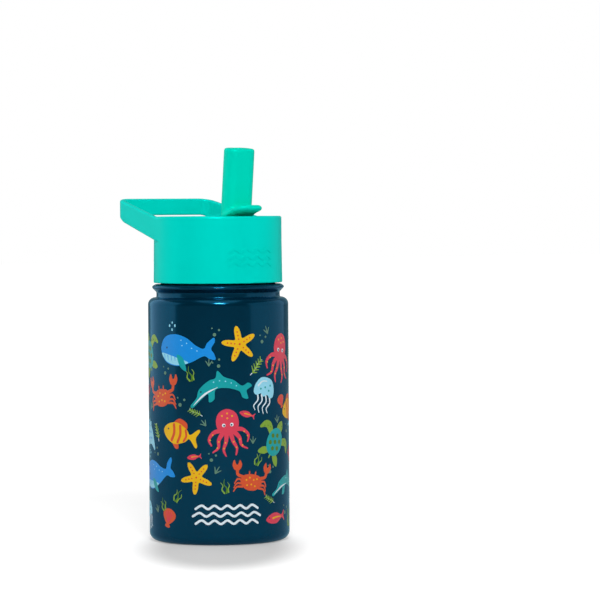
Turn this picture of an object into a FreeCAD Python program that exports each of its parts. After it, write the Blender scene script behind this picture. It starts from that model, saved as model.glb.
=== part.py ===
import FreeCAD, Part
import math
import os
from FreeCAD import Vector

os.makedirs("parts", exist_ok=True)

# Flask: painted outer wall, from the floor up (mm)
body_radius = 36.5
steel = 0.6
body_height = 126.2
foot_corner = 4.5
foot_width = 1.5
shoulder_corner = 3.6
groove_depth = 4.4
groove_height = 2.7
groove_corner = 0.8
bead_proud = 2.7
bead_rise = 2.8
bead_fall = 1.3
bead_inset = 2.0
bead_corner = 0.9
neck_step = 3.2
neck_height = 18.2

# Flask: inner wall and the discs under it
vacuum_gap = 2.7
neck_gap = 1.1
inner_floor_height = 11.0
inner_floor_corner = 5.0
inner_weld_height = 7.0
inner_shoulder_drop = 4.7
inner_shoulder_rise = 5.0
inner_corner = 2.5
weld_fit = 0.02
cover_dish_height = 1.4
cover_dish_radius = 25.0
disc_height = 5.0
disc_band = 3.0
pump_hole_radius = 1.0
seal_cap_radius = 3.0
seal_cap_height = 0.8
getter_radius = 4.0
getter_height = 2.0
getter_offset = 14.0

# Screw thread between the neck and the lid
thread_pitch = 4.0
thread_turns = 1.5
thread_depth = 1.05
thread_root = 2.0
thread_crest = 1.0
thread_sink = 0.4
thread_start = 5.0
thread_play = 0.3
run_gap = 0.3

# Lid: the stack of parts over the mouth
lid_gap = 0.8
gasket_height = 1.4
gasket_inset = 0.7
gasket_fit = 0.1
liner_wall = 1.1
liner_plate = 2.0
liner_fit = 0.05
shell_wall = 1.4
pocket_floor = 1.4
lid_draft = 0.3
rim_corner = 1.0
rim_width = 2.2
deck_drop = 0.6
deck_plate = 1.6
snap_lip_height = 0.8
snap_lip_depth = 0.9

# Spout, measured from its hinge axis
hinge_inset = 14.8
drum_radius = 5.8
drum_gap = 0.3
spout_width = 16.0
spout_depth = 11.2
spout_corner = 5.0
spout_lean = 6.0
spout_lip_corner = 1.3
spout_bore_radius = 3.5
spout_below_rim = 0.5
trunnion_radius = 2.2
trunnion_length = 2.3
trunnion_play = 0.07
tab_width = 16.8
tab_reach = 17.0
tab_thickness = 2.8
tab_slope = 18.0
tab_lift = 6.0
tab_corner = 6.0
tab_edge = 1.0

# Pocket in the lid that the folded spout lies in
pocket_side_gap = 0.4
pocket_wall = 1.6
pocket_front_gap = 7.5
pocket_end_gap = 2.1
pocket_land = 6.1
pocket_corner = 4.0
hinge_boss_radius = 4.6
hinge_boss_length = 3.2

# Seal, vent and straw under the spout
seal_radius = 5.0
seal_height = 3.2
seal_bore_radius = 2.5
seal_fit = 0.05
vent_y = 9.0
vent_stem_radius = 1.5
vent_hole_radius = 1.0
vent_flange_radius = 3.6
vent_flange_height = 0.8
vent_beak_height = 4.5
vent_beak_width = 3.0
vent_beak_tip = 0.8
vent_bore_radius = 0.6
straw_radius = 3.5
straw_wall = 0.8
straw_fit = 0.05
straw_foot_gap = 3.0
straw_notch = 3.0
socket_length = 10.0
socket_wall = 1.6
socket_stop = 2.0

# Carrying loop on the lid
loop_reach = 22.1
loop_half_width = 28.8
loop_thickness = 3.0
loop_corner = 7.5
loop_edge = 0.9
loop_root_y = 9.0
loop_rise = 9.6
loop_end_height = 8.0
loop_bend = 8.6
loop_bend_height = 12.7
loop_root_height = 12.7

# Heights and radii that follow from the sizes above
groove_radius = body_radius - groove_depth
groove_top_z = body_height + groove_height
bead_radius = groove_radius + bead_proud
bead_z = groove_top_z + bead_rise
ledge_z = bead_z + bead_fall
ledge_radius = bead_radius - bead_inset
neck_radius = ledge_radius - neck_step
mouth_z = ledge_z + neck_height
inner_radius = body_radius - steel - vacuum_gap
inner_neck_radius = neck_radius - steel - neck_gap
thread_radius = neck_radius + thread_depth
liner_inner_radius = thread_radius + run_gap
liner_radius = liner_inner_radius + liner_wall
shell_inner_radius = liner_radius + liner_fit
lid_radius = shell_inner_radius + shell_wall
lid_top_radius = lid_radius - lid_draft
lid_bottom_z = ledge_z + lid_gap
liner_under_z = mouth_z + gasket_height
liner_top_z = liner_under_z + liner_plate
pocket_z = liner_top_z + pocket_floor
hinge_z = pocket_z + drum_gap + drum_radius
hinge_y = hinge_inset - shell_inner_radius
rim_z = hinge_z + spout_depth / 2 + spout_below_rim
deck_z = rim_z - deck_drop
pocket_half_width = tab_width / 2 + pocket_side_gap
pocket_front_y = hinge_y - pocket_front_gap
pocket_back_y = shell_inner_radius - pocket_land
spout_length = pocket_back_y - pocket_end_gap - hinge_y
loop_y = lid_radius + loop_reach
inner_floor_z = inner_floor_height + steel


def corner_arc(before, corner, after, radius):
    """Tangent points and middle of the arc that rounds one corner, or None where it is sharp."""
    into = (corner - before).normalize()
    out = (after - corner).normalize()
    turn = into.getAngle(out)
    if radius <= 0 or turn < 0.001:
        return None
    reach = radius * math.tan(turn / 2)
    start = corner - into * reach
    end = corner + out * reach
    inward = (out - into).normalize()
    middle = corner + inward * (radius / math.cos(turn / 2) - radius)
    return start, middle, end


def rounded_edges(points, closed):
    """Lines and arcs through (across, up, corner radius) points in the XZ plane."""
    at = [Vector(p[0], 0, p[1]) for p in points]
    radii = [p[2] if len(p) > 2 else 0 for p in points]
    count = len(at)
    edges = []
    last = None
    first = None
    for i in range(count):
        inner = closed or 0 < i < count - 1
        arc = corner_arc(at[i - 1], at[i], at[(i + 1) % count], radii[i]) if inner else None
        start, end = (arc[0], arc[2]) if arc else (at[i], at[i])
        if last is not None and last.distanceToPoint(start) > 1e-6:
            edges.append(Part.LineSegment(last, start).toShape())
        if arc:
            edges.append(Part.Arc(*arc).toShape())
        first = start if first is None else first
        last = end
    if closed and last.distanceToPoint(first) > 1e-6:
        edges.append(Part.LineSegment(last, first).toShape())
    return edges


def closed_face(points):
    return Part.Face(Part.Wire(rounded_edges(points, True)))


def turned(points):
    """Solid of revolution about Z from a closed outline."""
    return closed_face(points).revolve(Vector(0, 0, 0), Vector(0, 0, 1), 360)


def offset_left(points, distance):
    """The same open outline moved to its left, with its corner radii changed to match."""
    at = [Vector(p[0], 0, p[1]) for p in points]
    steps = [(b - a).normalize() for a, b in zip(at, at[1:])]
    lefts = [Vector(-d.z, 0, d.x) for d in steps]
    moved = [at[0] + lefts[0] * distance]
    radii = [0]
    for i in range(1, len(at) - 1):
        bisector = lefts[i - 1] + lefts[i]
        moved.append(at[i] + bisector * (2 * distance / bisector.Length ** 2))
        left_turn = steps[i - 1].x * steps[i].z - steps[i - 1].z * steps[i].x > 0
        radius = points[i][2] if len(points[i]) > 2 else 0
        radii.append(max(radius - distance, 0) if left_turn else radius + distance)
    moved.append(at[-1] + lefts[-1] * distance)
    radii.append(0)
    return [(p.x, p.z, r) for p, r in zip(moved, radii)]


def sheet_turned(points, thickness):
    """A pressed sheet-metal part: an open outline given a thickness on its left, turned about Z."""
    near = rounded_edges(points, False)
    far_points = offset_left(points, thickness)
    far = rounded_edges(far_points, False)
    ends = []
    for i in (0, -1):
        a = Vector(points[i][0], 0, points[i][1])
        b = Vector(far_points[i][0], 0, far_points[i][1])
        ends.append(Part.LineSegment(a, b).toShape())
    wire = Part.Wire(Part.__sortEdges__(near + far + ends))
    return Part.Face(wire).revolve(Vector(0, 0, 0), Vector(0, 0, 1), 360)


def upright(edge):
    """Whether an edge stands along Z, between two faces of a vertical wall."""
    box = edge.BoundBox
    return box.ZLength > 3 * max(box.XLength, box.YLength)


def stands_up(face):
    """Whether a face is a vertical wall."""
    u0, u1, v0, v1 = face.ParameterRange
    return abs(face.normalAt((u0 + u1) / 2, (v0 + v1) / 2).z) < 0.01


def rod(radius, low, high, x=0.0, y=0.0):
    return Part.makeCylinder(radius, high - low, Vector(x, y, low), Vector(0, 0, 1))


def cross_rod(radius, half_length):
    """Cylinder along the hinge axis."""
    return Part.makeCylinder(radius, 2 * half_length, Vector(-half_length, hinge_y, hinge_z), Vector(1, 0, 0))


def block(half_x, low_y, high_y, low_z, high_z):
    return Part.makeBox(2 * half_x, high_y - low_y, high_z - low_z, Vector(-half_x, low_y, low_z))


def slab_across(points, half_x):
    """Prism along X from an outline of (y, z, corner radius) points."""
    face = closed_face(points)
    face.rotate(Vector(0, 0, 0), Vector(0, 0, 1), 90)
    face.translate(Vector(-half_x, 0, 0))
    return face.extrude(Vector(2 * half_x, 0, 0))


def plan_prism(points, low_z, high_z):
    """Prism along Z from an outline of (x, y, corner radius) points."""
    face = closed_face(points)
    face.rotate(Vector(0, 0, 0), Vector(1, 0, 0), -90)
    face.mirror(Vector(0, 0, 0), Vector(0, 1, 0))
    solid = face.extrude(Vector(0, 0, high_z - low_z))
    solid.translate(Vector(0, 0, low_z))
    return solid


def thread_ridge(wall_radius, direction, start_z):
    """Helical ridge standing out of a wall: direction is 1 outward and -1 inward."""
    height = thread_pitch * thread_turns
    foot = wall_radius - direction * thread_sink
    crest = wall_radius + direction * thread_depth
    flank = (thread_root - thread_crest) / 2 * (thread_depth + thread_sink) / thread_depth
    half = thread_crest / 2 + flank
    corners = [(foot, -half), (crest, -thread_crest / 2), (crest, thread_crest / 2), (foot, half)]
    path = Part.Wire(Part.makeHelix(thread_pitch, height, wall_radius))
    profile = Part.makePolygon([Vector(r, 0, z) for r, z in corners + corners[:1]])
    ridge = path.makePipeShell([profile], True, True)
    ridge.translate(Vector(0, 0, start_z))
    return ridge


def outer_shell():
    """Painted wall with its foot, shoulder, groove, bead and threaded neck."""
    wall = sheet_turned([
        (body_radius - foot_corner - foot_width, 0),
        (body_radius, 0, foot_corner),
        (body_radius, body_height, shoulder_corner),
        (groove_radius, body_height, groove_corner),
        (groove_radius, groove_top_z, groove_corner),
        (bead_radius, bead_z, bead_corner),
        (ledge_radius, ledge_z, groove_corner),
        (neck_radius, ledge_z, groove_corner),
        (neck_radius, mouth_z - steel),
    ], steel)
    return wall.fuse(thread_ridge(neck_radius, 1, ledge_z + thread_start))


def inner_flask():
    """Inner wall, its shoulder and neck, and the lip that is welded over the outer wall's end."""
    shoulder_z = body_height - inner_shoulder_drop
    return sheet_turned([
        (inner_radius, inner_floor_height + inner_weld_height),
        (inner_radius, shoulder_z, inner_corner),
        (inner_neck_radius, shoulder_z + inner_shoulder_rise, inner_corner),
        (inner_neck_radius, mouth_z - steel),
        (neck_radius, mouth_z - steel),
    ], steel)


def inner_bottom():
    return sheet_turned([
        (0, inner_floor_height),
        (inner_radius, inner_floor_height, inner_floor_corner),
        (inner_radius, inner_floor_height + inner_weld_height),
    ], steel)


def vacuum_disc():
    """Disc that closes the vacuum space, with its pump-out hole."""
    return sheet_turned([
        (pump_hole_radius, disc_height),
        (body_radius - steel - weld_fit, disc_height, groove_corner),
        (body_radius - steel - weld_fit, disc_height + disc_band),
    ], steel)


def vacuum_seal():
    """Plug of solder in the pump-out hole, with its cap below the disc."""
    plug = rod(pump_hole_radius - weld_fit, disc_height, disc_height + steel)
    cap = rod(seal_cap_radius, disc_height - seal_cap_height, disc_height)
    return cap.fuse(plug)


def getter():
    top = disc_height + steel
    return rod(getter_radius, top, top + getter_height, getter_offset)


def base_cover():
    """Dished disc welded on the inside of the foot."""
    return sheet_turned([
        (0, steel + cover_dish_height),
        (cover_dish_radius, steel + cover_dish_height, groove_corner),
        (cover_dish_radius + cover_dish_height, steel, groove_corner),
        (body_radius - foot_corner, steel),
    ], steel)


def carrying_loop():
    """Flat strap that leaves the lid's wall on both sides and meets in a bar behind it."""
    tip = math.hypot(loop_half_width, loop_y)
    touch = math.atan2(loop_y, loop_half_width) - math.acos(lid_top_radius / tip)
    root = Vector(lid_top_radius * math.cos(touch), lid_top_radius * math.sin(touch), 0)
    along = (Vector(loop_half_width, loop_y, 0) - root).normalize()
    inset = loop_thickness / along.y
    drift = loop_thickness * along.x / along.y
    inner_half = loop_half_width - inset - drift
    inner_root = root.x - inset
    outer = [(root.x, root.y), (loop_half_width, loop_y, loop_corner),
             (-loop_half_width, loop_y, loop_corner), (-root.x, root.y)]
    inner_corner_radius = loop_corner - loop_thickness
    inner = [(inner_root, root.y), (inner_half, loop_y - loop_thickness, inner_corner_radius),
             (-inner_half, loop_y - loop_thickness, inner_corner_radius), (-inner_root, root.y)]
    low = rim_z - 2 * loop_root_height
    high = rim_z + 2 * loop_rise
    band = plan_prism(outer, low, high).cut(plan_prism(inner, low, high))
    end_top = rim_z + loop_rise
    end_low = end_top - loop_end_height
    bend_y = loop_y - loop_bend
    root_low = rim_z - loop_root_height
    bend_low = end_top - loop_bend_height
    slope = (bend_low - root_low) / (bend_y - loop_root_y)
    side = [
        (0, rim_z - rim_corner), (loop_root_y, rim_z - rim_corner / 2, loop_corner),
        (loop_y, end_top), (loop_y, end_low), (bend_y, bend_low, loop_corner),
        (0, root_low - slope * loop_root_y),
    ]
    strap = band.common(slab_across(side, loop_half_width + lid_radius))
    sides = [f for f in strap.Faces if stands_up(f) and f.BoundBox.YMax > loop_root_y]
    rims = [e for f in sides for e in f.Edges if not upright(e)]
    return strap.makeFillet(loop_edge, rims)


def pocket_outline(grow):
    """Plan of the spout's pocket, grown by a wall."""
    half = pocket_half_width + grow
    front = pocket_front_y - grow
    back = pocket_back_y + grow
    corner = pocket_corner + grow
    return [(half, front, corner / 2), (half, back, corner),
            (-half, back, corner), (-half, front, corner / 2)]


def lid_shell():
    """Outer moulding of the lid: wall, deck, spout pocket, hinge sockets and carrying loop."""
    wall = turned([
        (shell_inner_radius, lid_bottom_z), (lid_radius, lid_bottom_z, loop_edge / 2),
        (lid_top_radius, pocket_z), (lid_top_radius, rim_z, rim_corner),
        (lid_top_radius - rim_width, rim_z, deck_drop / 2),
        (lid_top_radius - rim_width - deck_drop, deck_z), (0, deck_z), (0, deck_z - deck_plate),
        (shell_inner_radius, deck_z - deck_plate),
    ])
    lip = turned([
        (shell_inner_radius - snap_lip_depth, lid_bottom_z), (shell_inner_radius + liner_fit, lid_bottom_z),
        (shell_inner_radius + liner_fit, lid_bottom_z + snap_lip_height),
        (shell_inner_radius - snap_lip_depth / 2, lid_bottom_z + snap_lip_height),
    ])
    inside = rod(shell_inner_radius, lid_bottom_z, rim_z + 3 * loop_rise)
    tray = plan_prism(pocket_outline(pocket_wall), liner_top_z, deck_z - deck_plate / 2)
    boss = cross_rod(hinge_boss_radius, pocket_half_width + hinge_boss_length)
    loop = carrying_loop().cut(inside)
    body = wall.fuse([lip, tray, boss, loop])
    cavity = plan_prism(pocket_outline(0), pocket_z, rim_z + rim_corner)
    sockets = cross_rod(trunnion_radius + trunnion_play, spout_width / 2 + trunnion_length + drum_gap)
    seal_hole = rod(seal_radius + seal_fit, liner_top_z - 1, pocket_z + 1, 0, hinge_y)
    vent_hole = rod(vent_hole_radius, liner_top_z - 1, pocket_z + 1, 0, vent_y)
    return body.cut([cavity, sockets, seal_hole, vent_hole]).removeSplitter()


def lid_liner():
    """Inner moulding: threaded skirt, top plate, straw socket and vent seat."""
    skirt_z = lid_bottom_z + snap_lip_height + liner_fit
    cup = turned([
        (0, liner_top_z), (0, liner_under_z), (liner_inner_radius, liner_under_z),
        (liner_inner_radius, skirt_z), (liner_radius, skirt_z), (liner_radius, liner_top_z, rim_corner),
    ])
    ridge = thread_ridge(liner_inner_radius, -1, ledge_z + thread_start + thread_play - thread_pitch / 2)
    socket = rod(straw_radius + socket_wall, liner_under_z - socket_length, liner_top_z - 1, 0, hinge_y)
    body = cup.fuse([ridge, socket])
    straw_hole = rod(straw_radius + straw_fit, liner_under_z - socket_length - 1,
                     liner_under_z - socket_stop, 0, hinge_y)
    flow_hole = rod(seal_bore_radius, liner_under_z - socket_length, liner_top_z + 1, 0, hinge_y)
    vent_hole = rod(vent_stem_radius, liner_under_z - 1, liner_top_z + 1, 0, vent_y)
    return body.cut([straw_hole, flow_hole, vent_hole])


def lid_gasket():
    return turned([
        (inner_neck_radius - gasket_inset, mouth_z, gasket_height / 3),
        (liner_inner_radius - gasket_fit, mouth_z, gasket_height / 3),
        (liner_inner_radius - gasket_fit, liner_under_z),
        (inner_neck_radius - gasket_inset, liner_under_z),
    ])


def spout_tab():
    """Thumb tab that rises away from the foot of the spout, with rounded outer corners."""
    tip = -tab_reach / math.cos(math.radians(tab_slope))
    half = tab_width / 2
    outline = [(half, 0), (half, tip, tab_corner), (-half, tip, tab_corner), (-half, 0)]
    plate = plan_prism(outline, 0, tab_thickness)
    rims = [e for e in plate.Edges if e.BoundBox.YMin < -tab_corner and e.BoundBox.ZLength < 0.01]
    plate = plate.makeFillet(tab_edge, rims)
    plate.rotate(Vector(0, 0, 0), Vector(1, 0, 0), -tab_slope)
    plate.translate(Vector(0, 0, tab_lift - tab_thickness / 2))
    return plate


def spout():
    """Drinking spout in its open position, with its drum, trunnions, bore and tab."""
    half = spout_width / 2
    depth = spout_depth / 2
    section = [(half, -depth, spout_corner), (half, depth, spout_corner),
               (-half, depth, spout_corner), (-half, -depth, spout_corner)]
    stem = plan_prism(section, 0, spout_length)
    top_edges = [e for e in stem.Edges if e.BoundBox.ZMin > spout_length - 0.01]
    stem = stem.makeFillet(spout_lip_corner, top_edges)
    stem.rotate(Vector(0, 0, 0), Vector(1, 0, 0), spout_lean)
    bore = rod(spout_bore_radius, -2 * drum_radius, spout_length + 1)
    bore.rotate(Vector(0, 0, 0), Vector(1, 0, 0), spout_lean)
    stem = stem.fuse(spout_tab())
    for piece in (stem, bore):
        piece.translate(Vector(0, hinge_y, hinge_z))
    drum = cross_rod(drum_radius, half)
    trunnions = cross_rod(trunnion_radius, half + trunnion_length)
    return stem.fuse([drum, trunnions]).cut(bore).removeSplitter()


def spout_seal():
    """Soft seat that the spout's drum turns on, round the flow hole."""
    pad = rod(seal_radius, liner_top_z, liner_top_z + seal_height, 0, hinge_y)
    hole = rod(seal_bore_radius, liner_top_z - 1, liner_top_z + seal_height + 1, 0, hinge_y)
    folded_under_z = hinge_z - spout_depth / 2 - drum_gap
    folded_room = block(seal_radius + 1, hinge_y, hinge_y + seal_radius + 1, folded_under_z, hinge_z)
    return pad.cut([cross_rod(drum_radius + drum_gap, spout_width), hole, folded_room])


def vent_valve():
    """Duckbill valve that lets air in through the lid's plate."""
    flange_z = liner_under_z - vent_flange_height
    stem = rod(vent_stem_radius - weld_fit, flange_z, liner_top_z, 0, vent_y)
    flange = rod(vent_flange_radius, flange_z, liner_under_z, 0, vent_y)
    half = vent_beak_width / 2
    tip = vent_beak_tip / 2
    low = flange_z - vent_beak_height
    profile = [(vent_y - half, flange_z), (vent_y - tip, low),
               (vent_y + tip, low), (vent_y + half, flange_z)]
    beak = slab_across(profile, half)
    bore = rod(vent_bore_radius, low + vent_beak_tip * 2, liner_top_z + 1, 0, vent_y)
    return flange.fuse([stem, beak]).cut(bore)


def straw():
    """Straight straw with a notched foot, pushed up into the liner's socket."""
    low = inner_floor_z + straw_foot_gap
    high = liner_under_z - socket_stop
    tube = rod(straw_radius, low, high, 0, hinge_y)
    bore = rod(straw_radius - straw_wall, low - 1, high + 1, 0, hinge_y)
    foot = low - straw_notch / 10
    profile = [(hinge_y - straw_notch, foot), (hinge_y, low + straw_notch), (hinge_y + straw_notch, foot)]
    notch = slab_across(profile, straw_radius + 1)
    return tube.cut([bore, notch])


pieces = {
    "outer_shell": outer_shell,
    "inner_flask": inner_flask,
    "inner_bottom": inner_bottom,
    "vacuum_disc": vacuum_disc,
    "vacuum_seal": vacuum_seal,
    "getter": getter,
    "base_cover": base_cover,
    "lid_shell": lid_shell,
    "lid_liner": lid_liner,
    "lid_gasket": lid_gasket,
    "spout": spout,
    "spout_seal": spout_seal,
    "vent_valve": vent_valve,
    "straw": straw,
}

for name, make in pieces.items():
    shape = make()
    box = shape.BoundBox
    print(name, shape.ShapeType, len(shape.Solids), shape.isValid(), round(shape.Volume, 1),
          [round(v, 2) for v in (box.XMin, box.XMax, box.YMin, box.YMax, box.ZMin, box.ZMax)])
    shape.exportStep("parts/" + name + ".step")
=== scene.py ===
import math

import bpy
import numpy
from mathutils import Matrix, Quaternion, Vector
from mathutils.bvhtree import BVHTree
from mathutils.geometry import delaunay_2d_cdt


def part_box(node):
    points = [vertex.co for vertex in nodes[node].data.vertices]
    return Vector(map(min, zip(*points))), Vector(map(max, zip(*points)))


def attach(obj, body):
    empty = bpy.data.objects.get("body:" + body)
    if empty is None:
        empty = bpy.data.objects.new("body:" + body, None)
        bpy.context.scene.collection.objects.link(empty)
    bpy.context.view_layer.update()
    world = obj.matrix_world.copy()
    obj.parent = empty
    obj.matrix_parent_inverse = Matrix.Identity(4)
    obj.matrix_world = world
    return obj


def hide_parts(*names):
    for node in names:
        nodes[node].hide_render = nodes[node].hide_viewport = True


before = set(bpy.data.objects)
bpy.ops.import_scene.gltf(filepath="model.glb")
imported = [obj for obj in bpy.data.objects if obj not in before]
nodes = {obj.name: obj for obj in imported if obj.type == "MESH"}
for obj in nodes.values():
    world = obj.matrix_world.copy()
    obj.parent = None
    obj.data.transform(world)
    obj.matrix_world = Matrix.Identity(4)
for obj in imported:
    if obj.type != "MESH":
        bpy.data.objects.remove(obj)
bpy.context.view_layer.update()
mm = 0.001
print("frame loaded:", len(nodes), "nodes")

# camera: level with the lid's rim, on the thumb tab's side, aimed so the bottle stands left of the middle
shot = {
    "azimuth": math.radians(-32.0),
    "roll": math.radians(-0.35),
    "eyeHeight": 174.0 * mm,
    "distance": 1.666,
    "pictureSize": 600,
    "axisColumn": 218.1,  # the bottle's axis in the picture, in pixels
    "horizonRow": 204.5,
    "pixel": 0.5205 * mm,  # size of one pixel at the axis
    "sensor": 36.0,
    "clipStart": 0.05,
    "clipEnd": 50.0,
}


def makeCamera():
    a = shot["azimuth"]
    ahead = Vector((-math.sin(a), math.cos(a), 0))
    right = Vector((math.cos(a), math.sin(a), 0))
    focal = shot["distance"] / shot["pixel"]
    middle = shot["pictureSize"] / 2
    aim = ahead * focal + right * (middle - shot["axisColumn"])
    aim.z = shot["horizonRow"] - middle
    data = bpy.data.cameras.new("camera")
    data.sensor_width = shot["sensor"]
    data.lens = shot["sensor"] * focal / shot["pictureSize"]
    data.clip_start = shot["clipStart"]
    data.clip_end = shot["clipEnd"]
    camera = bpy.data.objects.new("camera", data)
    camera.location = ahead * -shot["distance"] + Vector((0, 0, shot["eyeHeight"]))
    level = aim.to_track_quat("-Z", "Y")
    camera.rotation_euler = (level @ Quaternion((0, 0, 1), shot["roll"])).to_euler()
    bpy.context.scene.collection.objects.link(camera)
    bpy.context.scene.camera = camera


makeCamera()
print("camera ready")


# one node material, built up from noise, ramps and tints in the object's own space
class Paint:
    def __init__(self, name):
        self.material = bpy.data.materials.new(name)
        self.material.use_nodes = True
        self.tree = self.material.node_tree
        self.shader = self.tree.nodes["Principled BSDF"]
        self.place = self.tree.nodes.new("ShaderNodeTexCoord").outputs["Object"]

    def feed(self, node, inputs):
        for name, value in inputs.items():
            if isinstance(value, bpy.types.NodeSocket):
                self.tree.links.new(value, node.inputs[name])
            else:
                node.inputs[name].default_value = value

    def add(self, kind, inputs, **settings):
        node = self.tree.nodes.new(kind)
        for name, value in settings.items():
            setattr(node, name, value)
        self.feed(node, inputs)
        return node

    def set(self, inputs):
        self.feed(self.shader, inputs)

    def noise(self, scale, detail=2.0, stretch=None):
        place = self.place
        if stretch:
            place = self.add("ShaderNodeMapping", {"Vector": place, "Scale": stretch}).outputs[0]
        node = self.add("ShaderNodeTexNoise", {"Vector": place, "Scale": scale, "Detail": detail})
        return node.outputs["Fac"]

    def ramp(self, factor, low, high, start=0.3, end=0.7, curve="LINEAR"):
        node = self.add("ShaderNodeMapRange", {
            "Value": factor, "From Min": start, "From Max": end, "To Min": low, "To Max": high},
            interpolation_type=curve)
        return node.outputs[0]

    def tint(self, factor, dark, light):
        node = self.add("ShaderNodeMix", {}, data_type="RGBA")
        mixed = [socket for socket in node.inputs if socket.type == "RGBA"]
        share = [socket for socket in node.inputs if socket.type == "VALUE"]
        self.tree.links.new(factor, share[0])
        mixed[0].default_value = (*dark, 1)
        mixed[1].default_value = (*light, 1)
        return [socket for socket in node.outputs if socket.type == "RGBA"][0]

    # the base colour, in clouds that are a little darker and a little lighter
    def mottle(self, colour, look, detail):
        low, high = (shade(colour, share) for share in look["shades"])
        self.set({"Base Color": self.tint(self.noise(look["clouds"], detail), low, high)})

    def roughen(self, scale, low, high):
        self.set({"Roughness": self.ramp(self.noise(scale), low, high)})

    def bump(self, height, depth, strength):
        node = self.add("ShaderNodeBump", {"Height": height, "Strength": strength, "Distance": depth})
        self.set({"Normal": node.outputs[0]})


# a colour as a screen shows it, from 0 to 255, turned into the linear values that shaders take
def screen(*levels):
    parts = [level / 255 for level in levels]
    return tuple(part / 12.92 if part <= 0.04045 else ((part + 0.055) / 1.055) ** 2.4 for part in parts)


def shade(value, share):
    return tuple(c * share for c in value)


# finishes: colours are linear, and noise scales are in waves per metre
colours = {
    "navy": (0.0005, 0.049, 0.100),
    "navyGloss": (0.1, 0.75, 1.0),
    "teal": (0.0, 0.75, 0.635),
    "spoutTeal": (0.0, 0.76, 0.56),
    "tealGloss": (0.0, 0.9, 0.8),
    "white": (0.83, 0.85, 0.86),
    "straw": (0.74, 0.84, 0.86),
    "plainGloss": (1.0, 1.0, 1.0),
    "steelDark": (0.5, 0.5, 0.49),
    "steelLight": (0.66, 0.66, 0.65),
    "solder": (0.5, 0.5, 0.5),
    "getter": (0.2, 0.2, 0.21),
    "siliconeDark": (0.78, 0.81, 0.82),
    "siliconeLight": (0.86, 0.88, 0.89),
}

moulding = {
    "clouds": 60.0,
    "shades": (0.95, 1.03),
    "wear": 900.0,
    "wearSpread": 0.04,  # how far the roughness strays to each side
    "grain": 2600.0,
    "grainDepth": 0.02 * mm,
    "grainStrength": 0.35,
    "tinted": {"Specular IOR Level": 0.02, "Metallic": 0.12},  # keeps the teal's highlights teal
    "plain": {"Specular IOR Level": 0.5, "Metallic": 0.0},
}


def plastic(name, colour, gloss, kind, roughness):
    p = Paint(name)
    p.mottle(colours[colour], moulding, 3.0)
    p.set({"Specular Tint": (*colours[gloss], 1), **moulding[kind]})
    p.roughen(moulding["wear"], roughness - moulding["wearSpread"], roughness + moulding["wearSpread"])
    p.bump(p.noise(moulding["grain"], 1.0), moulding["grainDepth"], moulding["grainStrength"])
    return p.material


enamel = {
    "clouds": 45.0,
    "shades": (0.94, 1.06),
    "specular": 0.15,
    "flake": 0.68,  # share of the light that the metallic flakes send back
    "coat": 0.1,
    "coatRoughness": 0.03,
    "wear": 400.0,
    "roughness": (0.16, 0.2),
    "peel": 700.0,
    "peelDepth": 0.012 * mm,
    "peelStrength": 0.1,
}


def glossPaint():
    p = Paint("navyPaint")
    p.mottle(colours["navy"], enamel, 3.0)
    p.set({"Specular Tint": (*colours["navyGloss"], 1), "Specular IOR Level": enamel["specular"]})
    p.set({"Metallic": enamel["flake"], "Coat Weight": enamel["coat"]})
    p.set({"Coat Roughness": enamel["coatRoughness"]})
    p.roughen(enamel["wear"], *enamel["roughness"])
    p.bump(p.noise(enamel["peel"], 2.0), enamel["peelDepth"], enamel["peelStrength"])
    return p.material


inkCoat = {
    "clouds": 900.0,
    "shades": (0.9, 1.04),
    "specular": 0.25,
    "coat": 0.1,
    "coatRoughness": 0.15,
    "wear": 1500.0,
    "roughness": (0.36, 0.48),
    "tooth": 3000.0,
    "toothDepth": 0.004 * mm,
    "toothStrength": 0.3,
}


def inkFinish(name, colour):
    p = Paint(name)
    p.mottle(colour, inkCoat, 4.0)
    p.set({"Specular IOR Level": inkCoat["specular"], "Coat Weight": inkCoat["coat"]})
    p.set({"Coat Roughness": inkCoat["coatRoughness"]})
    p.roughen(inkCoat["wear"], *inkCoat["roughness"])
    p.bump(p.noise(inkCoat["tooth"], 2.0), inkCoat["toothDepth"], inkCoat["toothStrength"])
    return p.material


brushing = {
    "lines": 1500.0,
    "stretch": (1, 1, 0.02),  # drawn out along the bottle's axis
    "roughness": (0.24, 0.4),
    "depth": 0.01 * mm,
    "strength": 0.4,
}


def steel():
    p = Paint("brushedSteel")
    lines = p.noise(brushing["lines"], 2.0, brushing["stretch"])
    p.set({"Base Color": p.tint(lines, colours["steelDark"], colours["steelLight"]), "Metallic": 1.0})
    p.set({"Roughness": p.ramp(lines, *brushing["roughness"])})
    p.bump(lines, brushing["depth"], brushing["strength"])
    return p.material


casting = {
    "clouds": 500.0,
    "shades": (0.8, 1.15),
    "metallic": 0.8,
    "wear": 900.0,
    "roughness": (0.45, 0.65),
    "pits": 1200.0,
    "pitDepth": 0.05 * mm,
    "pitStrength": 0.6,
}


def dullMetal(name, colour):
    p = Paint(name)
    p.mottle(colours[colour], casting, 4.0)
    p.set({"Metallic": casting["metallic"]})
    p.roughen(casting["wear"], *casting["roughness"])
    p.bump(p.noise(casting["pits"], 3.0), casting["pitDepth"], casting["pitStrength"])
    return p.material


rubber = {
    "clouds": 120.0,
    "translucency": 0.3,
    "depth": 2 * mm,
    "wear": 800.0,
    "roughness": (0.42, 0.55),
    "grain": 1800.0,
    "grainDepth": 0.01 * mm,
    "grainStrength": 0.3,
}


def silicone():
    p = Paint("clearSilicone")
    clouds = p.noise(rubber["clouds"])
    p.set({"Base Color": p.tint(clouds, colours["siliconeDark"], colours["siliconeLight"])})
    p.set({"Subsurface Weight": rubber["translucency"], "Subsurface Scale": rubber["depth"]})
    p.roughen(rubber["wear"], *rubber["roughness"])
    p.bump(p.noise(rubber["grain"]), rubber["grainDepth"], rubber["grainStrength"])
    return p.material


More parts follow.
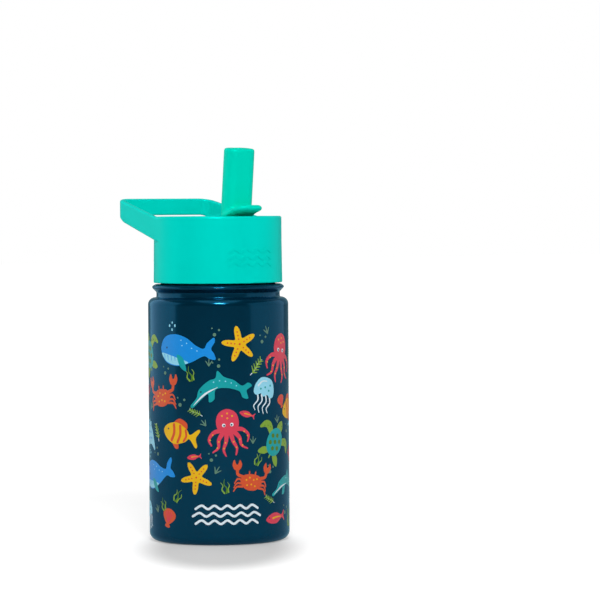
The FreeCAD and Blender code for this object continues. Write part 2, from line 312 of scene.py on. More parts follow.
finishes = {
    "navyPaint": glossPaint(),
    "tealPlastic": plastic("tealPlastic", "teal", "tealGloss", "tinted", 0.36),
    "tealSpout": plastic("tealSpout", "spoutTeal", "tealGloss", "tinted", 0.44),
    "whitePlastic": plastic("whitePlastic", "white", "plainGloss", "plain", 0.4),
    "strawPlastic": plastic("strawPlastic", "straw", "plainGloss", "plain", 0.3),
    "brushedSteel": steel(),
    "solder": dullMetal("solder", "solder"),
    "getterMetal": dullMetal("getterMetal", "getter"),
    "clearSilicone": silicone(),
}
nodeFinish = {
    "outer_shell": "navyPaint",
    "inner_flask": "brushedSteel",
    "inner_bottom": "brushedSteel",
    "vacuum_disc": "brushedSteel",
    "vacuum_seal": "solder",
    "getter": "getterMetal",
    "base_cover": "brushedSteel",
    "lid_shell": "tealPlastic",
    "lid_liner": "whitePlastic",
    "lid_gasket": "clearSilicone",
    "spout": "tealSpout",
    "spout_seal": "clearSilicone",
    "vent_valve": "clearSilicone",
    "straw": "strawPlastic",
}


def wear(piece, finish):
    piece.data.materials.clear()
    piece.data.materials.append(finishes[finish])


for nodeName, finish in nodeFinish.items():
    wear(nodes[nodeName], finish)
print("finishes on the frame:", len(nodeFinish))

# the moulded spout: one smooth skin, with a soft root where the thumb tab leaves the stem
spoutSkin = {
    "voxel": 0.32 * mm,
    "rootRadius": 6.5 * mm,  # the length over which the root's softening fades out
    "rootCore": 0.3,  # it is full within this share of that length
    "rootPasses": 90,
    "overallPasses": 3,
    "easing": 0.5,  # how far a point goes toward its neighbours' middle in one pass
    "tipBand": 4.0 * mm,  # how much of the tab counts as its tip
    "tabSlope": math.radians(18),
    "tabReach": 16.0 * mm,
    "tabLimit": 1.1,  # where the stretch and droop stop growing, in reaches
    "tabStretch": 1.1 * mm,  # the tip reaches a little further out
    "tabDroop": 0.4 * mm,  # and hangs a little lower
    "scoop": 0.45 * mm,  # depth of the dip where the thumb lies
}


def relaxed(points, edges, weight, passes):
    a, b = edges[:, 0], edges[:, 1]
    count = len(points)
    links = numpy.bincount(a, minlength=count) + numpy.bincount(b, minlength=count)
    for _ in range(passes):
        middle = numpy.empty_like(points)
        for axis in range(3):
            total = numpy.bincount(a, points[b, axis], count) + numpy.bincount(b, points[a, axis], count)
            middle[:, axis] = total / links
        points = points + (middle - points) * weight[:, None] * spoutSkin["easing"]
    return points


def evenSkin(source):
    skin = bpy.data.objects.new("spoutSkin", source.data.copy())
    bpy.context.scene.collection.objects.link(skin)
    remesh = skin.modifiers.new("even", "REMESH")
    remesh.mode = "VOXEL"
    remesh.voxel_size = spoutSkin["voxel"]
    shape = bpy.data.meshes.new_from_object(skin.evaluated_get(bpy.context.evaluated_depsgraph_get()))
    skin.modifiers.clear()
    skin.data = shape
    return skin


def makeSpout():
    skin = evenSkin(nodes["spout"])
    shape = skin.data
    points = numpy.empty(len(shape.vertices) * 3)
    shape.vertices.foreach_get("co", points)
    points = points.reshape(-1, 3)
    edges = numpy.empty(len(shape.edges) * 2, dtype=numpy.int64)
    shape.edges.foreach_get("vertices", edges)
    edges = edges.reshape(-1, 2)
    low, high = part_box("spout")
    stem = points[points[:, 2] > (low[2] + high[2]) / 2]
    front = stem[:, 1].min()
    # the root runs across the stem's front, where the tab's middle meets it
    tip = points[points[:, 1] < low[1] + spoutSkin["tipBand"]]
    rootHeight = tip[:, 2].mean() - (front - tip[:, 1].mean()) * math.tan(spoutSkin["tabSlope"])
    away = numpy.hypot(points[:, 1] - front, points[:, 2] - rootHeight)
    weight = numpy.clip(1 + spoutSkin["rootCore"] - away / spoutSkin["rootRadius"], 0, 1)
    points = relaxed(points, edges, weight, spoutSkin["rootPasses"])
    points = relaxed(points, edges, numpy.ones(len(points)), spoutSkin["overallPasses"])
    out = numpy.clip((front - points[:, 1]) / spoutSkin["tabReach"], 0, spoutSkin["tabLimit"])
    across = numpy.clip(1 - (points[:, 0] / high[0]) ** 2, 0, 1)
    dip = numpy.sin(numpy.clip(out, 0, 1) * math.pi) * across
    points[:, 1] -= spoutSkin["tabStretch"] * out
    points[:, 2] -= spoutSkin["tabDroop"] * out + spoutSkin["scoop"] * dip
    shape.vertices.foreach_set("co", points.ravel())
    for face in shape.polygons:
        face.use_smooth = True
    shape.update()
    wear(skin, "tealSpout")
    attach(skin, "spout")
    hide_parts("spout")
    print("spout skin:", len(points), "points, root at", round(front / mm, 2), round(rootHeight / mm, 2))


makeSpout()

# printed sea life on the wall: each motif is drawn flat in millimetres, filled, and wrapped round the wall
printing = {
    "radius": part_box("outer_shell")[1][0],
    "layer": 0.03 * mm,  # thickness of one coat of ink
    "lap": 0.01 * mm,  # how far each coat reaches into what is under it
    "mesh": 1.7,  # spacing of the points inside a shape, in millimetres
    "rimGap": 0.4,  # how far they keep from the outline's points, in spacings
    "weld": 1e-5,  # points nearer than this count as one
    "facing": math.radians(-32.0),  # where along the wall the layout has its zero
    "repeats": 2,
    "curveSteps": 7,
    "strokeSteps": 6,
    "strokeEnd": (0.52, 1.05, 1.57, 2.09, 2.62),  # turns round a stroke's end, in radians
    "ovalCorners": 10,  # the least, and how many more for each millimetre of width
    "cornersPerMillimetre": 5,
}
inks = {
    "crimson": screen(226, 64, 88),
    "orange": screen(220, 85, 45),
    "yellow": screen(240, 188, 14),
    "teal": screen(2, 164, 169),
    "paleBlue": screen(150, 222, 245),
    "blue": screen(11, 145, 232),
    "leaf": screen(131, 170, 53),
    "deepLeaf": screen(82, 128, 20),
    "white": screen(228, 240, 248),
    "moss": screen(96, 134, 112),
    "night": screen(6, 44, 70),
}


# one stretch of a smooth curve from b to c, with a before them and d after them
def curvePiece(a, b, c, d, steps):
    places = [step / steps for step in range(steps)]
    return [b + (c - a) * (t / 2) + (2 * a - 5 * b + 4 * c - d) * (t * t / 2)
            + (3 * (b - c) + d - a) * (t ** 3 / 2) for t in places]


def closedCurve(points):
    corners = [Vector(p) for p in points]
    count = len(corners)
    line = []
    for i in range(count):
        near = (corners[(i + k) % count] for k in (-1, 0, 1, 2))
        line += curvePiece(*near, printing["curveSteps"])
    return line


def openCurve(points):
    corners = [Vector(p) for p in points]
    last = len(corners) - 1
    line = []
    for i in range(last):
        near = (corners[min(max(i + k, 0), last)] for k in (-1, 0, 1, 2))
        line += curvePiece(*near, printing["strokeSteps"])
    return line + [corners[-1]]


def blob(ink, points, layer=0):
    return (ink, layer, closedCurve(points))


def roundEnd(p, way, side):
    return [p + way * math.sin(t) + side * math.cos(t) for t in printing["strokeEnd"]]


def stroke(ink, points, wide, narrow, layer=0):
    path = openCurve(points)
    last = len(path) - 1
    left, right = [], []
    for i, p in enumerate(path):
        half = (wide + (narrow - wide) * i / last) / 2
        way = (path[min(i + 1, last)] - path[max(i - 1, 0)]).normalized() * half
        side = Vector((-way.y, way.x))
        if i == 0:
            start = roundEnd(p, -way, -side)
        left.append(p + side)
        right.append(p - side)
    return (ink, layer, left + roundEnd(p, way, side) + right[::-1] + start)


def oval(ink, x, y, wide, tall=None, layer=0):
    tall = tall or wide
    count = max(printing["ovalCorners"], int(wide * printing["cornersPerMillimetre"]))
    turns = [2 * math.pi * i / count for i in range(count)]
    return (ink, layer, [Vector((x + wide / 2 * math.cos(t), y + tall / 2 * math.sin(t))) for t in turns])


def dots(ink, places, wide, layer=1):
    return [oval(ink, x, y, wide, layer=layer) for x, y in places]


def mirrored(shapes):
    return [(ink, layer, [Vector((-p.x, p.y)) for p in line]) for ink, layer, line in shapes]


def whale():
    body = [(-19, -1), (-18.4, 5), (-14, 9.6), (-6, 11.2), (2, 9.4), (9, 5), (14.4, 3.4), (16.6, 7.4),
            (20.6, 11), (21.4, 8.4), (19.4, 3.6), (21.6, 0.4), (22.6, -3.2), (18.6, -3), (14.6, -1.6),
            (6, -6.4), (-4, -9.4), (-13.6, -7.6)]
    belly = [(-18.4, -2.2), (-12, -2.6), (-4, -4.2), (4.4, -6.6), (-4, -8.9), (-13.2, -7.2)]
    fin = [(-4.6, -2.4), (-0.4, -3.4), (2.2, -8), (3, -12.4), (-1.8, -9.4)]
    grooves = [stroke("blue", [(x, -2.9 - 0.1 * i), (x + 0.6, -6.6 + 0.2 * i)], 0.5, 0.3, 2)
               for i, x in enumerate((-15.4, -12.4, -9.4, -6.4))]
    spray = [oval("paleBlue", -9.6, 14, 1.2, 1.8), oval("paleBlue", -12, 16.4, 1.3, 1.9),
             oval("paleBlue", -7.4, 16.8, 1.3, 1.9), oval("paleBlue", -9.8, 18.6, 1.1, 1.6)]
    spots = dots("paleBlue", [(-2, 7.6), (2.4, 6), (-1, 4.2), (6.2, 3), (10, 1.6)], 0.9)
    return [blob("blue", body), blob("paleBlue", belly, 1), blob("teal", fin, 2),
            oval("night", -13.6, 1.8, 1.3, layer=1), *grooves, *spray, *spots]


def dolphin():
    body = [(-18.4, -5.4), (-14, -1.6), (-11.4, 3.2), (-5, 7.2), (-0.6, 8.2), (1.4, 12.2), (4.6, 8), (10, 5),
            (14.4, 0.8), (18.6, 1.8), (20.6, -0.6), (16.8, -2.6), (17, -7.4), (13.6, -6.2), (12, -2),
            (5, 1.2), (-1.6, 1.4), (-3.4, -4), (-6.8, -5.2), (-6.6, -0.4), (-11, -2.8), (-17, -6.8)]
    belly = [(-16.6, -5.6), (-11.6, -1.4), (-7, 1), (0, 2.6), (-6.4, 0.2), (-11.2, -2.3)]
    return [blob("teal", body), blob("white", belly, 1), oval("night", -10.6, 1.6, 1.1, layer=1),
            *dots("paleBlue", [(-2, 6), (1.6, 6.2), (5, 5.2), (8.2, 3.6), (11, 1.4)], 0.8)]


def turtle():
    front = [(-6, 5.4), (-11.4, 9.6), (-16.6, 8.4), (-19, 3), (-18, 1.4), (-13.6, 4.2), (-7.6, 1.8)]
    rear = [(-4.6, -7), (-9, -9), (-11, -13.6), (-8.8, -14.4), (-5, -12.6), (-2.4, -9.2)]
    limbs = [blob("leaf", front), blob("leaf", rear)]
    head = blob("leaf", [(-2.6, 9), (-3.3, 13.4), (0, 17.2), (3.3, 13.4), (2.6, 9)])
    plates = [(0, 0), (0, 5.2), (0, -5.2), (-4.4, 2.7), (4.4, 2.7), (-4.4, -2.7), (4.4, -2.7)]
    freckles = [(-10, 6.8), (-13, 6.2), (-15.6, 4.6), (10, 6.8), (13, 6.2), (15.6, 4.6)]
    return [*limbs, *mirrored(limbs), head, stroke("leaf", [(0, -9), (0.3, -13)], 2.2, 0.5),
            oval("teal", 0, 0, 17, 21, 1), *dots("deepLeaf", plates, 3.3, 2),
            *dots("deepLeaf", freckles, 0.9), *dots("night", [(-1.7, 13.9), (1.7, 13.9)], 0.8)]


def fish():
    body = [(-12.6, 0), (-9, 4.6), (-2, 6.8), (5, 4.2), (8.2, 1.4), (13, 5.8), (14.2, 4.6), (12.4, 0),
            (14.2, -4.6), (13, -5.8), (8.2, -1.4), (5, -4.2), (-2, -6.8), (-9, -4.6)]
    upperFin = [(-5, 5), (-1.4, 9.6), (4.6, 7.8), (4.4, 3.6)]
    lowerFin = [(-4, -6), (-0.6, -9.4), (1.6, -8.6), (0.4, -5.6)]
    stripes = [stroke("orange", [(x, y), (x + 1.1, 0), (x, -y)], wide, wide, 2)
               for x, y, wide in ((-4.6, 5.0, 1.9), (0.2, 5.2, 1.7), (4.6, 3.4, 1.4))]
    return [blob("orange", upperFin), blob("yellow", body, 1), *stripes, blob("orange", lowerFin),
            oval("night", -8.6, 1.4, 1.2, layer=2)]


def slimFish():
    body = [(-10, 0), (-6, 2.8), (0, 3.4), (6, 1), (9.6, 3.6), (8.8, 0), (9.6, -3.6), (6, -1), (0, -3.4),
            (-6, -2.8)]
    return [blob("crimson", body), stroke("yellow", [(-3.6, 0.2), (0.6, 0.4), (4.6, 0)], 1.2, 0.5, 1),
            oval("night", -7, 0.8, 0.9, layer=1)]


def crab():
    shell = [(-9, 0.6), (-6.6, 5), (0, 6.4), (6.6, 5), (9, 0.6), (5.6, -4.6), (0, -6), (-5.6, -4.6)]
    arm = stroke("orange", [(6.8, 3.6), (11.6, 5), (12.6, 8.6)], 2.4, 2.2)
    claw = blob("orange", [(11, 8.4), (9.4, 12.4), (11.4, 16), (12.6, 12.6), (14, 12.6), (15.8, 15.6),
                           (16.8, 11.8), (14.6, 8.2)])
    legs = [stroke("orange", [(7, y), (11.4, y + lift), (13.4, y - 3.6 + lift)], 1.9, 0.8)
            for y, lift in ((1, 0.6), (-1.6, 0), (-3.6, -0.8))]
    stalk = stroke("orange", [(2.4, 5.6), (2.8, 9)], 1.1, 1.1)
    side = [arm, claw, *legs, stalk]
    spots = [(-4.4, 1.6), (-1.8, 3.6), (1.6, 2.2), (4.4, 3), (0, -1.4), (-3.4, -2.2), (3.2, -2.4)]
    return [*side, *mirrored(side), blob("orange", shell), *dots("night", [(-2.8, 9.2), (2.8, 9.2)], 1.5),
            *dots("yellow", spots, 1.3)]


def star():
    arms = 5
    steps = 14 * arms
    line = []
    for i in range(steps):
        t = 2 * math.pi * i / steps
        reach = 7.6 + 4.0 * math.cos(arms * t) + 0.7 * math.cos(2 * arms * t)
        line.append(Vector((reach * math.sin(t), reach * math.cos(t))))
    turns = [2 * math.pi * k / arms for k in range(arms)]
    spots = [(reach * math.sin(t), reach * math.cos(t)) for t in turns for reach in (3.4, 5.8, 8.2)]
    return [("yellow", 0, line), *dots("orange", spots, 1.1), oval("orange", 0, 0, 1.5, layer=1)]


def octopus():
    head = [(-6.4, 2.6), (-8.2, 9), (-6, 15.4), (0, 18.2), (6, 15.4), (8.2, 9), (6.4, 2.6), (0, -0.6)]
    side = [stroke("crimson", [(-4.8, 3.4), (-10.4, 2.4), (-14.4, -2), (-13.2, -6.6)], 3.6, 1.0),
            stroke("crimson", [(-3.6, 2), (-7.4, -3), (-8.4, -8.6), (-12.6, -11.4)], 3.6, 1.0),
            stroke("crimson", [(-1.4, 1.2), (-2.6, -5), (-4.8, -10.4), (-3.6, -15)], 3.5, 1.0)]
    cups = [(-11.4, 0.8), (-13.6, -2.6), (-7.6, -4.4), (-9.2, -8.6), (-3, -5.6), (-4.4, -9.6)]
    cups += [(-x, y) for x, y in cups]
    return [*side, *mirrored(side), blob("crimson", head), *dots("yellow", cups, 1.0),
            *dots("yellow", [(-3.4, 13.6), (0.4, 15), (3.8, 12.8), (0.2, 11.6)], 1.2),
            *dots("white", [(-2.9, 6.8), (2.9, 6.8)], 2.6), *dots("night", [(-2.7, 6.6), (2.7, 6.6)], 1.3, 2)]


def ray():
    half = [(0, 8.6), (2.2, 10.6), (3.4, 8.2), (9, 5.2), (17, -2.8), (10, -2.6), (4.6, -6), (1.4, -9)]
    body = half + [(-x, y) for x, y in half[:0:-1]]
    marks = [(-8, 1.2), (-4.4, 3.6), (-4, -1), (0, 1.4), (4, -1), (4.4, 3.6), (8, 1.2), (0, -4)]
    tail = stroke("paleBlue", [(0, -7), (1.6, -13), (-0.6, -17), (1.2, -21)], 1.7, 0.5)
    return [tail, blob("paleBlue", body), *dots("blue", marks, 1.6),
            *dots("night", [(-2.6, 7), (2.6, 7)], 0.8)]


def jelly():
    bell = [(-8.4, 0), (-8, 5.6), (-4, 10.6), (4, 10.6), (8, 5.6), (8.4, 0), (5.6, -1.6), (2.8, 0), (0, -1.6),
            (-2.8, 0), (-5.6, -1.6)]
    arms = []
    for x in (-5.2, -1.8, 1.8, 5.2):
        path = [(x, -0.8), (x + 1.2, -4.6), (x - 1, -8.8), (x + 0.6, -13 + abs(x) * 0.3)]
        arms.append(stroke("white", path, 1.2, 0.5))
    shine = stroke("white", [(-5.8, 4.6), (-3.2, 8), (0.6, 8.8)], 1.2, 0.5, 2)
    return [*arms, blob("paleBlue", bell, 1), shine,
            *dots("teal", [(-3.4, 3), (0, 4.6), (3.6, 3), (4.2, 6.6)], 1.4, 2)]


def weed():
    return [stroke("leaf", [(-2.6, -7), (-4.8, -2), (-2.6, 2.6), (-4.6, 7)], 2.2, 0.6),
            stroke("deepLeaf", [(0, -7.4), (1.6, -1.6), (-0.8, 4), (1.2, 10.4)], 2.4, 0.6),
            stroke("leaf", [(2.8, -7), (3.4, -2.6), (5.6, 1.4), (4.2, 5.6)], 2.0, 0.6)]


def seaFern():
    shapes = [stroke("white", [(0, -9), (0.8, -2), (-0.4, 4), (1, 9.6)], 0.8, 0.5)]
    for i in range(5):
        y = -5.6 + 3.1 * i
        reach = 4.2 - 0.35 * i
        shapes.append(stroke("leaf", [(0.5, y), (reach, y + 2.6)], 1.7, 0.5, 1))
        shapes.append(stroke("leaf", [(0.1, y + 1.2), (-reach, y + 3.8)], 1.7, 0.5, 1))
    return shapes


def coral():
    return [stroke("crimson", [(0, -7.6), (-0.4, -1), (0.8, 8)], 2.2, 1.5),
            stroke("crimson", [(-0.2, -3.4), (-4.6, -0.6), (-5.6, 4.8)], 1.8, 1.3),
            stroke("crimson", [(0, -1), (4.4, 1.4), (5.8, 6.4)], 1.8, 1.3),
            stroke("crimson", [(-4.9, 0.8), (-7.8, 2.2)], 1.4, 1.1),
            stroke("crimson", [(0.3, 3.4), (-2, 6)], 1.4, 1.1)]


def shellFan():
    fan = [(0, -5.6), (-5.6, -0.8), (-6.2, 3.2), (-3.4, 5.6), (0, 6.4), (3.4, 5.6), (6.2, 3.2), (5.6, -0.8)]
    ribs = [stroke("crimson", [(0, -4.2), (4.8 * math.sin(t), 4.6 * math.cos(t))], 0.4, 0.8, 1)
            for t in (-0.9, -0.45, 0, 0.45, 0.9)]
    hinge = [(-2.6, -6.2), (0, -4.6), (2.6, -6.2), (1.6, -7.6), (-1.6, -7.6)]
    return [blob("orange", hinge), blob("orange", fan), *ribs]


def bubbles():
    return [oval("moss", 0, 0, 2.0), oval("moss", 2.6, 2.6, 1.3), oval("moss", -1.4, 3.6, 0.9)]


def ticks():
    return [stroke("moss", [(0, -2), (-1.8, 0.6)], 0.8, 0.4), stroke("moss", [(0, -2), (0.1, 1.8)], 0.8, 0.4),
            stroke("moss", [(0, -2), (1.9, 0.6)], 0.8, 0.4)]


# the points of a wavy line through height y, up and down by turns
def wavyPath(y, wide, count, swing):
    return [(wide * (i / (count - 1) - 0.5), y + (swing if i % 2 else -swing)) for i in range(count)]


waves = {
    "rows": ((3.8, 33), (0.0, 36), (-3.8, 33)),  # height and width of each line, in millimetres
    "points": 11,
    "swing": 0.9,
    "thickness": 1.2,
}


def waveBand():
    thickness = waves["thickness"]
    return [stroke("white", wavyPath(y, wide, waves["points"], waves["swing"]), thickness, thickness)
            for y, wide in waves["rows"]]


motifs = {draw.__name__: draw for draw in (
    whale, dolphin, turtle, fish, slimFish, crab, star, octopus, ray, jelly, weed, seaFern, coral, shellFan,
    bubbles, ticks, waveBand)}


# points of an even grid that lie inside an outline and clear of its own points
def gridInside(line, spacing):
    xs, ys = [p.x for p in line], [p.y for p in line]
    gx, gy = numpy.meshgrid(numpy.arange(min(xs), max(xs), spacing), numpy.arange(min(ys), max(ys), spacing))
    gx, gy = gx.ravel(), gy.ravel()
    inside = numpy.zeros(len(gx), dtype=bool)
    near = numpy.full(len(gx), numpy.inf)
    for i in range(len(line)):
        a, b = line[i - 1], line[i]
        near = numpy.minimum(near, numpy.hypot(gx - a.x, gy - a.y))
        if a.y != b.y:
            crosses = (a.y > gy) != (b.y > gy)
            inside ^= crosses & (gx < (b.x - a.x) * (gy - a.y) / (b.y - a.y) + a.x)
    keep = inside & (near > spacing * printing["rimGap"])
    return [Vector((x, y)) for x, y in zip(gx[keep], gy[keep])]


# an outline filled with triangles: its points, its faces and the edges round its rim
def filledShape(line, spacing):
    count = len(line)
    area = sum(line[i - 1].cross(line[i]) for i in range(count))
    if area < 0:
        line = line[::-1]
    points = line + gridInside(line, spacing)
    insideOnly = 1
    flat, _, faces, *_ = delaunay_2d_cdt(points, [], [list(range(count))], insideOnly, printing["weld"])
    used = sorted({i for face in faces for i in face})
    order = {i: k for k, i in enumerate(used)}
    faces = [[order[i] for i in face] for face in faces]
    sides = {(face[k - 1], face[k]) for face in faces for k in range(len(face))}
    rim = [(a, b) for a, b in sides if (b, a) not in sides]
    return [flat[i] for i in used], faces, sorted(rim)


# closed thin plates that follow the wall, joined into one piece
class Sheet:
    def __init__(self, name):
        self.name = name
        self.points = []
        self.faces = []

    def lay(self, filled, place, low, high):
        flat, faces, rim = filled
        base, count = len(self.points), len(flat)
        self.points += [place(p, high) for p in flat] + [place(p, low) for p in flat]
        self.faces += [[base + i for i in face] for face in faces]
        self.faces += [[base + count + i for i in reversed(face)] for face in faces]
        self.faces += [[base + b, base + a, base + count + a, base + count + b] for a, b in rim]

    def finish(self, body, slot, material):
        mesh = bpy.data.meshes.new(self.name)
        mesh.from_pydata(self.points, [], self.faces)
        mesh.materials.append(material)
        piece = bpy.data.objects.new(self.name, mesh)
        bpy.context.scene.collection.objects.link(piece)
        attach(piece, body)


# carries a flat drawing's points to the wall, and a little proud of it
def wrapped(radiusAt, facing, x, z, scale, turn):
    cosTurn, sinTurn = math.cos(turn) * scale, math.sin(turn) * scale

    def place(p, proud):
        height = (z + p.x * sinTurn + p.y * cosTurn) * mm
        radius = radiusAt(height)
        angle = facing + (x + p.x * cosTurn - p.y * sinTurn) * mm / radius
        return ((radius + proud) * math.sin(angle), -(radius + proud) * math.cos(angle), height)
    return place


# one repeat of the print: motif, place along the wall and height in millimetres, scale, turn in degrees
layout = [
    ("turtle", -49, 97, 0.72, 24), ("whale", -19, 99, 0.78, -4), ("star", 11, 103, 0.78, 12),
    ("octopus", 38, 94, 0.76, -8), ("crab", -34, 75, 0.74, 6), ("dolphin", 0, 79, 0.86, 10),
    ("jelly", 25, 77, 0.78, -14), ("fish", 50, 69, 0.76, 14), ("ray", -52, 56, 0.78, -28),
    ("fish", -22, 57, 0.82, -12), ("octopus", 5, 57, 0.72, 6), ("turtle", 33, 52, 0.72, -34),
    ("whale", -41, 35, 0.72, 8), ("star", -12, 35, 0.72, 30), ("crab", 17, 32, 0.68, -8),
    ("dolphin", 45, 28, 0.76, -6), ("jelly", -51, 14, 0.62, 16), ("shellFan", -29, 14, 0.7, -14),
    ("slimFish", 34, 13, 0.8, 6), ("weed", 50, 12, 0.6, 0),
    ("weed", -15, 87.5, 0.42, 18), ("coral", -53, 77, 0.56, -12), ("seaFern", 20, 91, 0.56, -40),
    ("seaFern", -38.5, 57, 0.5, 20), ("weed", 21, 43.5, 0.38, -24), ("weed", 56, 88, 0.5, 10),
    ("shellFan", 39, 73, 0.5, 20), ("seaFern", 29, 22.5, 0.4, 60), ("coral", 52, 45, 0.5, 8),
    ("weed", -23, 25, 0.4, -30), ("seaFern", -12, 68, 0.42, 66), ("slimFish", 15, 67, 0.45, -16),
    ("weed", 3, 30, 0.4, 12), ("weed", -33, 20, 0.36, 20), ("slimFish", -13, 45.5, 0.4, 8),
    ("bubbles", -31, 88, 0.9, 0), ("bubbles", 24, 104, 0.9, 0), ("bubbles", 0, 92, 0.9, 40),
    ("bubbles", -21, 72, 1, 0), ("bubbles", 46, 57, 1, 0), ("bubbles", -38, 46, 0.9, 60),
    ("bubbles", -4, 44, 0.9, 0), ("bubbles", 29, 37, 0.9, 0), ("bubbles", 43, 15, 1, 0),
    ("bubbles", -2, 108, 0.9, 0), ("bubbles", 55, 105, 1, 20),
    ("ticks", -5, 94, 0.9, 0), ("ticks", 53, 83, 1, 30), ("ticks", -45, 71, 1, -20),
    ("ticks", 35, 64, 1, 10), ("ticks", -8, 63, 0.9, 40), ("ticks", 18, 54, 0.9, 0),
    ("ticks", -57, 41, 1, 0), ("ticks", -1, 39, 1, -30), ("ticks", -39, 18, 1, 20),
    ("ticks", 27, 110, 1, 20),
]
lowFront = ("waveBand", 4.0, 16.0, 1.0, 0)  # once only, low on the front


# the painted wall is straight, so its radius is the same at every height
def wallRadius(height):
    return printing["radius"]


def makePrint():
    ready = {name: [(ink, layer, filledShape(line, printing["mesh"])) for ink, layer, line in draw()]
             for name, draw in motifs.items()}
    sheets = {}
    span = 2 * math.pi * printing["radius"] / mm / printing["repeats"]
    placed = [(name, x + span * k, z, scale, turn) for k in range(printing["repeats"])
              for name, x, z, scale, turn in layout]
    placed.append(lowFront)
    for name, x, z, scale, turn in placed:
        place = wrapped(wallRadius, printing["facing"], x, z, scale, math.radians(turn))
        for ink, layer, filled in ready[name]:
            sheet = sheets.setdefault(ink, Sheet("print" + ink[0].upper() + ink[1:]))
            low = layer * printing["layer"] - printing["lap"]
            sheet.lay(filled, place, low, (layer + 1) * printing["layer"])
    for ink, sheet in sheets.items():
        sheet.finish("flask", "navy_paint", inkFinish("ink" + ink[0].upper() + ink[1:], inks[ink]))
    total = sum(len(sheet.points) for sheet in sheets.values())
    print("print:", len(placed), "motifs in", len(sheets), "inks,", total, "points")


makePrint()

# raised waves on the lid's front, moulded in the lid's own plastic
relief = {
    "middle": 147.3 * mm,
    "rows": (3.4, 0.0, -3.4),  # heights from the middle, in millimetres
    "width": 26.0,
    "points": 9,
    "swing": 0.8,
    "ridges": ((1.7, 0.14 * mm), (1.1, 0.26 * mm)),  # width in millimetres and height of each step
    "sink": 0.1 * mm,  # how far the waves reach into the wall
    "probeBelow": 12.0 * mm,  # the wall's radius is measured this far under the middle
    "probeAbove": 6.0 * mm,  # and this far over it
    "probeStart": 100.0 * mm,
}


def makeRelief():
    tree = BVHTree.FromObject(nodes["lid_shell"], bpy.context.evaluated_depsgraph_get())
    heights = (relief["middle"] - relief["probeBelow"], relief["middle"] + relief["probeAbove"])
    starts = [Vector((0, -relief["probeStart"], z)) for z in heights]
    low, high = (-tree.ray_cast(start, Vector((0, 1, 0)))[0].y for start in starts)

    def lidRadius(height):
        share = (height - heights[0]) / (heights[1] - heights[0])
        return low + (high - low) * share

    sheet = Sheet("lidWaves")
    place = wrapped(lidRadius, 0.0, 0, relief["middle"] / mm, 1.0, 0)
    for y in relief["rows"]:
        path = wavyPath(y, relief["width"], relief["points"], relief["swing"])
        for wide, proud in relief["ridges"]:
            _, _, line = stroke("white", path, wide, wide)
            sheet.lay(filledShape(line, printing["mesh"]), place, -relief["sink"], proud)
    sheet.finish("lid", "teal_plastic", finishes["tealPlastic"])
    print("lid waves on a wall of radius", round(low / mm, 2), round(high / mm, 2))


makeRelief()

# floor: white to the camera, with a soft shadow painted under the bottle, and a dim white to the bottle
ground = {
    "size": 14.0,
    "grain": 6.0,
    "shades": ((0.49, 0.49, 0.49), (0.51, 0.51, 0.51)),
    "glow": 0.65,  # what the camera sees of the floor's own white, near the bottle
    "farGlow": 1.0,
    "glowSpan": (0.25, 0.9),  # from where to where it changes, away from the bottle
    "fill": 0.16,  # what the bottle gets from it
    "shadowGlow": 0.17,  # the floor's own white in the middle of the shadow
    "shadowForward": 50.0 * mm,  # how far the shadow's middle lies toward the camera
    "shadowSize": (50.0 * mm, 120.0 * mm, 1.0),  # its reach across and along the view
    "shadowEdge": (0.5, 1.0),  # where it starts to fade and where it ends, in reaches
}


# one value for what the camera sees, and another for what lights the bottle
def cameraShare(tree, other, seen):
    path = tree.nodes.new("ShaderNodeLightPath")
    level = tree.nodes.new("ShaderNodeMix")
    tree.links.new(path.outputs["Is Camera Ray"], level.inputs[0])
    for socket, value in ((level.inputs[2], other), (level.inputs[3], seen)):
        if isinstance(value, bpy.types.NodeSocket):
            tree.links.new(value, socket)
        else:
            socket.default_value = value
    return level.outputs[0]


def floorFinish():
    p = Paint("palePaper")
    p.set({"Base Color": p.tint(p.noise(ground["grain"]), *ground["shades"]), "Roughness": 0.9})
    p.set({"Specular IOR Level": 0.1, "Emission Color": (1, 1, 1, 1)})
    away = p.add("ShaderNodeVectorMath", {0: p.place}, operation="LENGTH").outputs["Value"]
    glow = p.ramp(away, ground["glow"], ground["farGlow"], *ground["glowSpan"])
    a = shot["azimuth"]
    forward = Vector((math.sin(a), -math.cos(a), 0)) * ground["shadowForward"]
    patch = p.add("ShaderNodeMapping", {
        "Vector": p.place, "Location": forward, "Rotation": (0, 0, a), "Scale": ground["shadowSize"]},
        vector_type="TEXTURE")
    outward = p.add("ShaderNodeVectorMath", {0: patch.outputs[0]}, operation="LENGTH").outputs["Value"]
    glow = p.ramp(outward, ground["shadowGlow"], glow, *ground["shadowEdge"], "SMOOTHSTEP")
    p.set({"Emission Strength": cameraShare(p.tree, ground["fill"], glow)})
    return p.material


def makeFloor():
    half = ground["size"] / 2
    corners = [(-half, -half, 0), (half, -half, 0), (half, half, 0), (-half, half, 0)]
    mesh = bpy.data.meshes.new("floor")
    mesh.from_pydata(corners, [], [(0, 1, 2, 3)])
    mesh.materials.append(floorFinish())
    floor = bpy.data.objects.new("floor", mesh)
    bpy.context.scene.collection.objects.link(floor)


makeFloor()

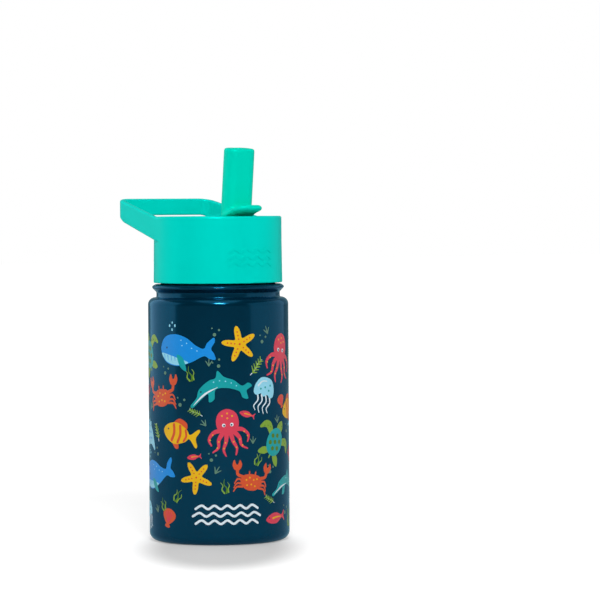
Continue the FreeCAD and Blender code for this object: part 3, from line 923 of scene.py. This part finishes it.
# sky: white to the camera, and to the bottle dim in front and brighter behind
sky = {
    "front": 0.04,
    "behind": 0.35,
    "span": (-0.1, 0.8),  # from where to where it changes, as the cosine of the angle from straight behind
    "seen": 1.0,
}


def makeSky():
    world = bpy.data.worlds.new("studio")
    bpy.context.scene.world = world
    world.use_nodes = True
    tree = world.node_tree
    coords = tree.nodes.new("ShaderNodeTexCoord")
    toBack = tree.nodes.new("ShaderNodeVectorMath")
    toBack.operation = "DOT_PRODUCT"
    toBack.inputs[1].default_value = (-math.sin(shot["azimuth"]), math.cos(shot["azimuth"]), 0)
    tree.links.new(coords.outputs["Generated"], toBack.inputs[0])
    soft = tree.nodes.new("ShaderNodeMapRange")
    soft.interpolation_type = "SMOOTHSTEP"
    soft.inputs["From Min"].default_value, soft.inputs["From Max"].default_value = sky["span"]
    soft.inputs["To Min"].default_value = sky["front"]
    soft.inputs["To Max"].default_value = sky["behind"]
    tree.links.new(toBack.outputs["Value"], soft.inputs["Value"])
    back = tree.nodes["Background"]
    tree.links.new(cameraShare(tree, soft.outputs[0], sky["seen"]), back.inputs["Strength"])
    back.inputs["Color"].default_value = (1, 1, 1, 1)


makeSky()

# soft boxes: degrees round the bottle from the camera, height and distance, width, tallness and power
lights = {
    "leftBox": (-111, 0.45, 1.2, 2.0, 1.2, 8.0),
    "rightBox": (95, 0.45, 1.4, 2.6, 1.2, 6.2),
    "topBox": (0, 1.6, 0.4, 1.2, 1.2, 5.0),
    "keyLight": (3, 1.0, 1.1, 0.32, 0.32, 13.0),
}
lightAim = Vector((0, 0, 100.0 * mm))


def makeLight(name, fromCamera, height, distance, width, tall, power):
    a = shot["azimuth"] + math.radians(fromCamera)
    spot = Vector((math.sin(a) * distance, -math.cos(a) * distance, height))
    data = bpy.data.lights.new(name, "AREA")
    data.shape = "RECTANGLE"
    data.size = width
    data.size_y = tall
    data.energy = power
    light = bpy.data.objects.new(name, data)
    light.location = spot
    light.rotation_euler = (lightAim - spot).to_track_quat("-Z", "Y").to_euler()
    bpy.context.scene.collection.objects.link(light)


for name, row in lights.items():
    makeLight(name, *row)
bpy.context.scene.view_settings.view_transform = "Standard"
print("studio ready")
